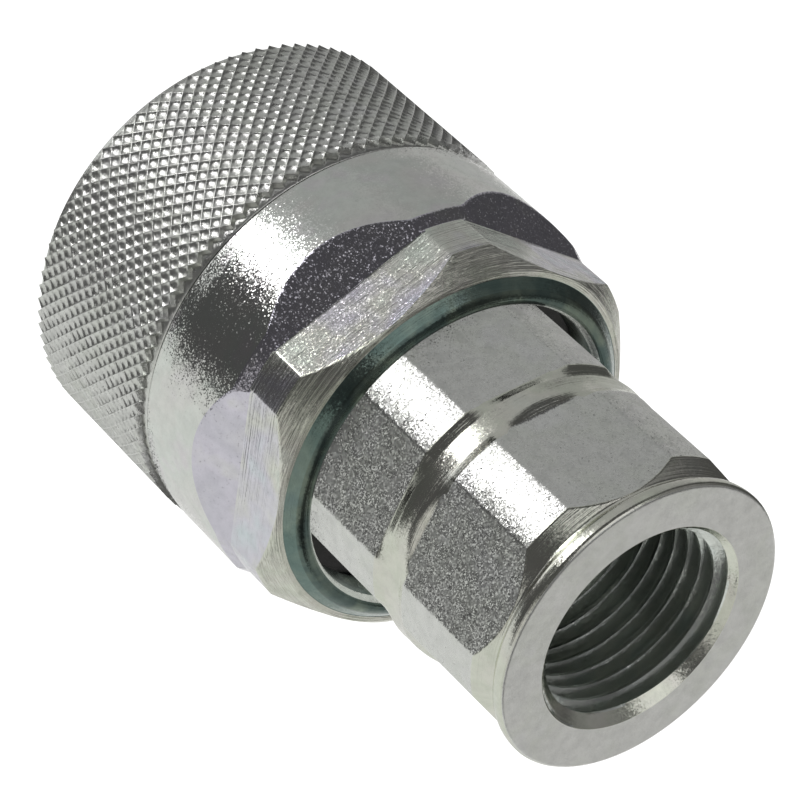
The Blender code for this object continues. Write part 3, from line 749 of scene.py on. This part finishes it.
def make_looks():
    """Every material, by its short name."""
    return {
        "land": zinc("zinc_lands", NEUTRAL, 0.27, 0.9),
        "turned": zinc("zinc_turned", OLIVE, 0.17, 0.35, 34.0, marks=5000.0, anisotropy=0.3),
        "face": zinc("zinc_port_face", NEUTRAL, 0.34, 0.5, 8.0),
        "thread": zinc("zinc_port_thread", PALE_GREEN, 0.22, 0.5, 20.0),
        # Painted shade: the adaptor's inside is painted nearly black
        "hidden": zinc("zinc_inside", PAINTED_SHADE_DARK, 0.3, 0.4, 12.0),
        "collar": zinc("zinc_collar", PEARL, 0.11, 0.65, 3.0),
        "hex": zinc("zinc_hexagon", RAINBOW, 0.16, 0.4, 110.0, marks=4200.0, flat=True, tint_scale=110.0),
        "slope": zinc("zinc_run_out", VIOLET, 0.15, 1.0, 4.0),
        "chamfer": zinc("zinc_rear_chamfer", OLIVE, 0.18, 0.4, 300.0, marks=2400.0),
        # The nut's bore and the top of the rear lip are painted nearly black as shade and dark reflection in
        # the gap
        "bore": zinc("zinc_nut_bore", PAINTED_SHADE_DARK, 0.3, 0.3, 10.0),
        "rim": zinc("zinc_rear_lip", PAINTED_SHADE_DARK, 0.13, 0.3, 10.0),
        "lip_wall": zinc("zinc_lip_wall", PALE_GREEN, 0.25, 1.0, 10.0),
        # The lip's side is darkened green as painted shade
        "lip_side": zinc("zinc_lip_side", GREEN_WITH_PAINTED_SHADE, 0.16, 0.4, 20.0),
        "nut_thread": zinc("zinc_nut_thread", OLIVE, 0.22, 0.4, 12.0),
        "knurl": zinc("zinc_knurl", NEUTRAL, 0.3, 0.6),
        "steel": zinc("steel_turned", NEUTRAL, 0.22, 0.3, 20.0, anisotropy=0.3),
        # The valve body's steel is painted nearly black above 24 mm: painted shade where it lies deep in the
        # gap
        "core_painted_shade": zinc("steel_valve_body_painted_shade", NEUTRAL, 0.22, 0.3, 20.0, anisotropy=0.3, painted_shade_above=24.0 * MM),
        "spring": simple("steel_spring_wire", WIRE, 0.3, 1.0, 300.0, 2.0, 6000.0),
        "rubber": simple("rubber_nitrile", NITRILE, 0.5, 0.0, 700.0, 6.0, 5000.0),
        "ptfe": simple("plastic_ptfe", PTFE, 0.42, 0.0, 600.0, 4.0, 4000.0),
        "bronze": simple("bronze_bush", BRONZE, 0.32, 1.0, 500.0, 3.0, 5000.0),
    }


SLOT_LOOKS = {"turned_steel": "steel", "spring_steel": "spring", "nitrile_rubber": "rubber",
              "ptfe": "ptfe", "bronze": "bronze"}


def dress_cad_nodes(looks):
    """Give the CAD nodes that stay their finished materials."""
    for part in frame["record"]["subparts"]:
        # The valve body takes the steel with painted shade above 24 mm
        look = "core_painted_shade" if part["node"] == "valve_body" else SLOT_LOOKS.get(part["material_slot"])
        if look:
            mesh = frame["nodes"][part["node"]].data
            mesh.materials.clear()
            mesh.materials.append(looks[look])
            mesh.shade_smooth()
            mesh.set_sharp_from_angle(angle=math.radians(SHARP_ANGLE))


# ---------------------------------------------------------------- studio

# Soft panels: azimuth, half width, elevation, half height (degrees), edge softness, strength, colour
PANELS = [
    # Key light, its soft shoulder and the strip under it
    (144.5, 10.0, -40.0, 24.0, 3.0, 3.2, (1.0, 1.0, 1.0)),
    (127.0, 9.0, -42.0, 26.0, 4.0, 0.4, (1.0, 1.0, 1.0)),
    (166.0, 22.0, -67.0, 12.0, 4.0, 0.9, (1.0, 1.0, 1.0)),
    # Broad lights on two sides and three dim ones between them and the key
    (262.0, 46.0, -16.0, 48.0, 7.0, 0.64, (0.98, 1.0, 0.97)),
    (330.0, 26.0, -24.0, 44.0, 10.0, 0.75, (1.0, 1.0, 0.98)),
    (18.0, 24.0, -50.0, 25.0, 8.0, 0.36, (1.0, 1.0, 0.98)),
    (60.0, 40.0, -50.0, 25.0, 8.0, 0.26, (0.98, 1.0, 0.98)),
    (98.0, 22.0, -44.0, 28.0, 8.0, 0.3, (0.98, 1.0, 0.98)),
    # Raised lights, which the surfaces that face up reflect
    (112.0, 32.0, 50.0, 18.0, 7.0, 0.75, (1.0, 1.0, 1.0)),
    (50.0, 34.0, 30.0, 16.0, 10.0, 0.14, (1.0, 1.0, 1.0)),
    (226.0, 36.0, 32.0, 26.0, 9.0, 0.5, (1.0, 1.0, 0.96)),
    (332.0, 34.0, 34.0, 24.0, 10.0, 0.46, (1.0, 1.0, 0.97)),
    # All round at the top and at the bottom
    (0.0, 200.0, 90.0, 24.0, 8.0, 0.1, (1.0, 1.0, 1.0)),
    (0.0, 200.0, -90.0, 14.0, 8.0, 0.5, (1.0, 1.0, 0.98)),
]
# Brightness all round, under the panels
BACK_LEVEL = 0.07


def inside(nodes, distance, half_width, softness):
    """1 inside a half width and 0 outside it, with a soft edge; all in degrees."""
    edge = (half_width + softness, half_width - softness)
    return nodes.remap(distance, edge, (0.0, 1.0), interpolation_type="SMOOTHERSTEP")


def studio_world():
    """World of soft panels round the object on a dim background."""
    world = bpy.data.worlds.new("studio")
    bpy.context.scene.world = world
    nodes = Nodes(world)
    x, y, z = nodes.split(nodes.add("ShaderNodeTexCoord").outputs["Generated"])
    elevation = nodes.math("DEGREES", nodes.math("ARCSINE", z))
    azimuth = nodes.math("DEGREES", nodes.math("ARCTAN2", y, x))
    light = (0.0, 0.0, 0.0)
    for centre, half_width, height, half_height, softness, strength, colour in PANELS:
        # Two and a half turns more keep the number positive before the whole turns are taken off
        turned = nodes.math("MODULO", nodes.math("ADD", azimuth, 900.0 - centre), 360.0)
        around = nodes.math("ABSOLUTE", nodes.math("SUBTRACT", turned, 180.0))
        upward = nodes.math("ABSOLUTE", nodes.math("SUBTRACT", elevation, height))
        mask = nodes.math("MULTIPLY", inside(nodes, around, half_width, softness),
                          inside(nodes, upward, half_height, softness))
        panel = nodes.scaled(tuple(strength * channel for channel in colour), mask)
        light = nodes.vector("MAXIMUM", panel, light)
    nodes.feed("Background", {"Color": nodes.vector("ADD", light, (BACK_LEVEL,) * 3)})


FLOOR_SIZE = 4.0
FLOOR_Z = -0.02 * MM
LENS = 165.17
CAMERA_PLACE = (-235.085 * MM, 121.761 * MM, 238.872 * MM)
CAMERA_TURN = (-41.062, -34.7475, 29.4304)


def floor():
    """Plain pale floor that the nut stands on; reflections and lights pass through it."""
    bpy.ops.mesh.primitive_plane_add(size=FLOOR_SIZE, location=(0.0, 0.0, FLOOR_Z))
    plane = bpy.context.active_object
    plane.name = "floor"
    nodes = Nodes(bpy.data.materials.new("floor_pale"))
    nodes.feed(SHADER, {"Base Color": (0.8, 0.8, 0.8, 1.0), "Roughness": 1.0,
                        "Emission Color": (1.0, 1.0, 1.0, 1.0), "Emission Strength": 1.0})
    plane.data.materials.append(nodes.owner)
    plane.visible_glossy = False
    plane.visible_shadow = False
    plane.visible_diffuse = False


def camera():
    """Camera at the viewing angle of the reference, rolled with the coupler."""
    data = bpy.data.cameras.new("camera")
    data.lens = LENS
    data.sensor_width = 36.0
    data.clip_start = 0.01
    data.clip_end = 20.0
    obj = bpy.data.objects.new("camera", data)
    obj.location = CAMERA_PLACE
    obj.rotation_euler = tuple(math.radians(angle) for angle in CAMERA_TURN)
    bpy.context.scene.collection.objects.link(obj)
    bpy.context.scene.camera = obj


def main():
    """Build the visual model."""
    camera()
    looks = make_looks()
    port_adaptor(looks)
    nut_shells(looks)
    knurled_grip(looks)
    poppet_coil(looks)
    dress_cad_nodes(looks)
    floor()
    studio_world()
    bpy.context.scene.view_settings.view_transform = "Standard"


main()
